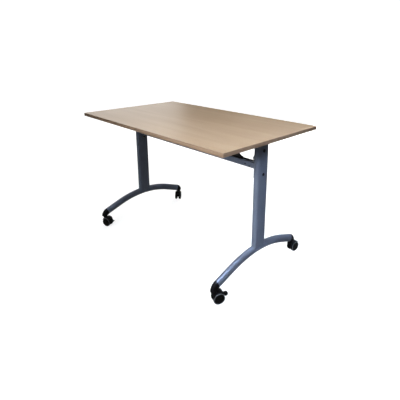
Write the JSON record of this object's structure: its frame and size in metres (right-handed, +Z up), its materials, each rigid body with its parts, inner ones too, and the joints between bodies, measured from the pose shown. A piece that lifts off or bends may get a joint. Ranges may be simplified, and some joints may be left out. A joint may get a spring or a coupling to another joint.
{
  "type": "flip top training table",
  "caption": "Rectangular training table with a beech top that tips upright for storage, on arched castor feet joined by a low beam",
  "frame": {"origin": "on the floor under the middle of the board", "axes": "+X along the board towards the near leg, which has the lever beside it; -Y towards the front edge, which rises when the top is tipped; +Z up"},
  "size_m": [1.2, 0.7151, 0.75],
  "materials": {
    "beech_board": "melamine-faced beech board, satin",
    "beech_edge": "beech edge band, satin",
    "grey_paint": "blue-grey powder coat, satin",
    "zinc_steel": "zinc plated",
    "black_steel": "black oxide",
    "black_nylon": "moulded nylon, fine texture",
    "castor_tread": "moulded nylon wheel with a worn tread",
    "black_rubber": "matt",
    "white_nylon": "turned nylon"
  },
  "bodies": {
    "frame": {"beam": "grey_paint", "beam_bolt_far": "black_steel", "beam_bolt_near": "black_steel", "beam_end_plate_far": "grey_paint", "beam_end_plate_near": "grey_paint", "beam_nut_far": "zinc_steel", "beam_nut_near": "zinc_steel", "column_cap_far": "black_nylon", "column_cap_near": "black_nylon", "column_far": "grey_paint", "column_near": "grey_paint", "foot_elbow_far_back": "black_nylon", "foot_elbow_far_front": "black_nylon", "foot_elbow_near_back": "black_nylon", "foot_elbow_near_front": "black_nylon", "foot_far": "grey_paint", "foot_near": "grey_paint", "pivot_bolt_far": "black_steel", "pivot_bolt_near": "black_steel", "pivot_nut_far": "zinc_steel", "pivot_nut_near": "zinc_steel", "stop_buffer_far": "black_rubber", "stop_buffer_near": "black_rubber"},
    "top": {"bracket_screw_far_back": "zinc_steel", "bracket_screw_far_front": "zinc_steel", "bracket_screw_near_back": "zinc_steel", "bracket_screw_near_front": "zinc_steel", "flip_bracket_far": "grey_paint", "flip_bracket_near": "grey_paint", "pivot_bush_far": "white_nylon", "pivot_bush_near": "white_nylon", "top_board": "beech_board", "top_edge_band": "beech_edge"},
    "lock": {"lock_cam_far": "zinc_steel", "lock_cam_near": "zinc_steel", "release_lever": "black_nylon", "release_shaft": "black_steel"},
    "castor_near_front": {"castor_near_front_hood": "black_nylon", "castor_near_front_stem": "zinc_steel", "castor_near_front_axle": "zinc_steel"},
    "castor_near_front_brake": {"castor_near_front_brake": "black_nylon"},
    "castor_near_front_wheel_left": {"castor_near_front_wheel_left": "castor_tread"},
    "castor_near_front_wheel_right": {"castor_near_front_wheel_right": "castor_tread"},
    "castor_near_back": {"castor_near_back_hood": "black_nylon", "castor_near_back_stem": "zinc_steel", "castor_near_back_axle": "zinc_steel"},
    "castor_near_back_wheel_left": {"castor_near_back_wheel_left": "castor_tread"},
    "castor_near_back_wheel_right": {"castor_near_back_wheel_right": "castor_tread"},
    "castor_far_front": {"castor_far_front_hood": "black_nylon", "castor_far_front_stem": "zinc_steel", "castor_far_front_axle": "zinc_steel"},
    "castor_far_front_brake": {"castor_far_front_brake": "black_nylon"},
    "castor_far_front_wheel_left": {"castor_far_front_wheel_left": "castor_tread"},
    "castor_far_front_wheel_right": {"castor_far_front_wheel_right": "castor_tread"},
    "castor_far_back": {"castor_far_back_hood": "black_nylon", "castor_far_back_stem": "zinc_steel", "castor_far_back_axle": "zinc_steel"},
    "castor_far_back_wheel_left": {"castor_far_back_wheel_left": "castor_tread"},
    "castor_far_back_wheel_right": {"castor_far_back_wheel_right": "castor_tread"}
  },
  "joints": [
    {"name": "top_flip", "type": "hinge", "parent": "frame", "child": "top", "pos_m": [0, 0.004, 0.673], "axis": [-1, 0, 0], "range_deg": [0, 90]},
    {"name": "lock_turn", "type": "hinge", "parent": "frame", "child": "lock", "pos_m": [0, -0.014, 0.617], "axis": [-1, 0, 0], "range_deg": [0, 90]},
    {"name": "castor_near_front_swivel", "type": "hinge", "parent": "frame", "child": "castor_near_front", "pos_m": [0.513, -0.30782, 0.06964], "axis": [0, 0, 1], "continuous": true},
    {"name": "castor_near_front_wheel_left_spin", "type": "hinge", "parent": "castor_near_front", "child": "castor_near_front_wheel_left", "pos_m": [0.52012, -0.29021, 0.02864], "axis": [-0.9272, 0.3746, 0], "continuous": true},
    {"name": "castor_near_front_wheel_right_spin", "type": "hinge", "parent": "castor_near_front", "child": "castor_near_front_wheel_right", "pos_m": [0.52012, -0.29021, 0.02864], "axis": [-0.9272, 0.3746, 0], "continuous": true},
    {"name": "castor_near_front_brake_press", "type": "hinge", "parent": "castor_near_front", "child": "castor_near_front_brake", "pos_m": [0.52865, -0.26909, 0.03184], "axis": [-0.9272, 0.3746, 0], "range_deg": [0, 15]},
    {"name": "castor_near_back_swivel", "type": "hinge", "parent": "frame", "child": "castor_near_back", "pos_m": [0.513, 0.31582, 0.06964], "axis": [0, 0, 1], "continuous": true},
    {"name": "castor_near_back_wheel_left_spin", "type": "hinge", "parent": "castor_near_back", "child": "castor_near_back_wheel_left", "pos_m": [0.51499, 0.33472, 0.02864], "axis": [-0.9945, 0.1045, 0], "continuous": true},
    {"name": "castor_near_back_wheel_right_spin", "type": "hinge", "parent": "castor_near_back", "child": "castor_near_back_wheel_right", "pos_m": [0.51499, 0.33472, 0.02864], "axis": [-0.9945, 0.1045, 0], "continuous": true},
    {"name": "castor_far_front_swivel", "type": "hinge", "parent": "frame", "child": "castor_far_front", "pos_m": [-0.513, -0.30782, 0.06964], "axis": [0, 0, 1], "continuous": true},
    {"name": "castor_far_front_wheel_left_spin", "type": "hinge", "parent": "castor_far_front", "child": "castor_far_front_wheel_left", "pos_m": [-0.49538, -0.30071, 0.02864], "axis": [-0.3746, 0.9272, 0], "continuous": true},
    {"name": "castor_far_front_wheel_right_spin", "type": "hinge", "parent": "castor_far_front", "child": "castor_far_front_wheel_right", "pos_m": [-0.49538, -0.30071, 0.02864], "axis": [-0.3746, 0.9272, 0], "continuous": true},
    {"name": "castor_far_front_brake_press", "type": "hinge", "parent": "castor_far_front", "child": "castor_far_front_brake", "pos_m": [-0.47427, -0.29218, 0.03184], "axis": [-0.3746, 0.9272, 0], "range_deg": [0, 15]},
    {"name": "castor_far_back_swivel", "type": "hinge", "parent": "frame", "child": "castor_far_back", "pos_m": [-0.513, 0.31582, 0.06964], "axis": [0, 0, 1], "continuous": true},
    {"name": "castor_far_back_wheel_left_spin", "type": "hinge", "parent": "castor_far_back", "child": "castor_far_back_wheel_left", "pos_m": [-0.50079, 0.30127, 0.02864], "axis": [0.766, 0.6428, 0], "continuous": true},
    {"name": "castor_far_back_wheel_right_spin", "type": "hinge", "parent": "castor_far_back", "child": "castor_far_back_wheel_right", "pos_m": [-0.50079, 0.30127, 0.02864], "axis": [0.766, 0.6428, 0], "continuous": true}
  ]
}
